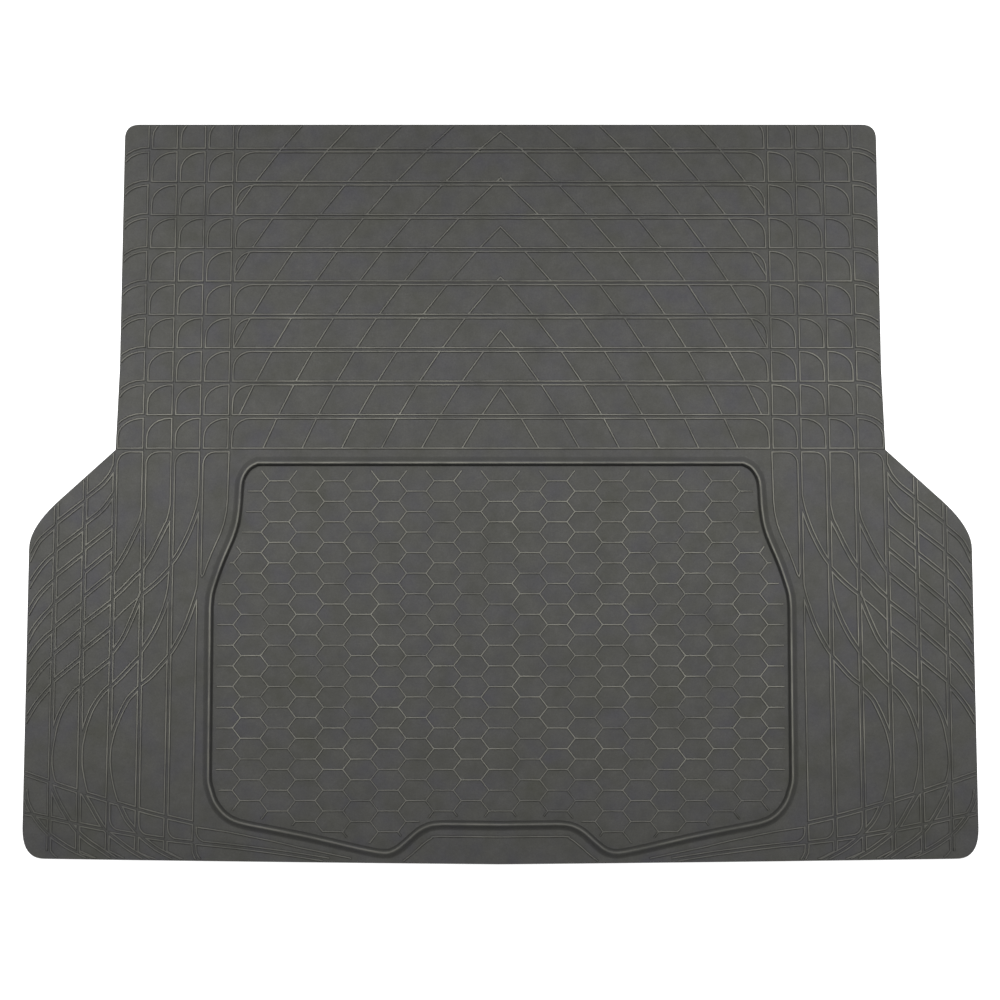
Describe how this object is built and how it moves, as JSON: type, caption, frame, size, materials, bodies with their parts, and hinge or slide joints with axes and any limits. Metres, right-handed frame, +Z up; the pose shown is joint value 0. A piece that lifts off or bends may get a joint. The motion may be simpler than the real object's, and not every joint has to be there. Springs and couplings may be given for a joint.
{
  "type": "car boot liner",
  "caption": "Moulded rubber boot mat with a flared lower half, a raised lip round a honeycomb tray, and ribbed cells for trimming to size.",
  "frame": {"origin": "centre of the mat's outline on its flat underside", "axes": "+X across the boot, +Y towards the seats, +Z up from the underside"},
  "size_m": [1.396, 1.09, 0.011],
  "materials": {
    "rubber": "matt moulded rubber"
  },
  "bodies": {
    "root": {"boot_liner": "rubber"}
  },
  "joints": []
}
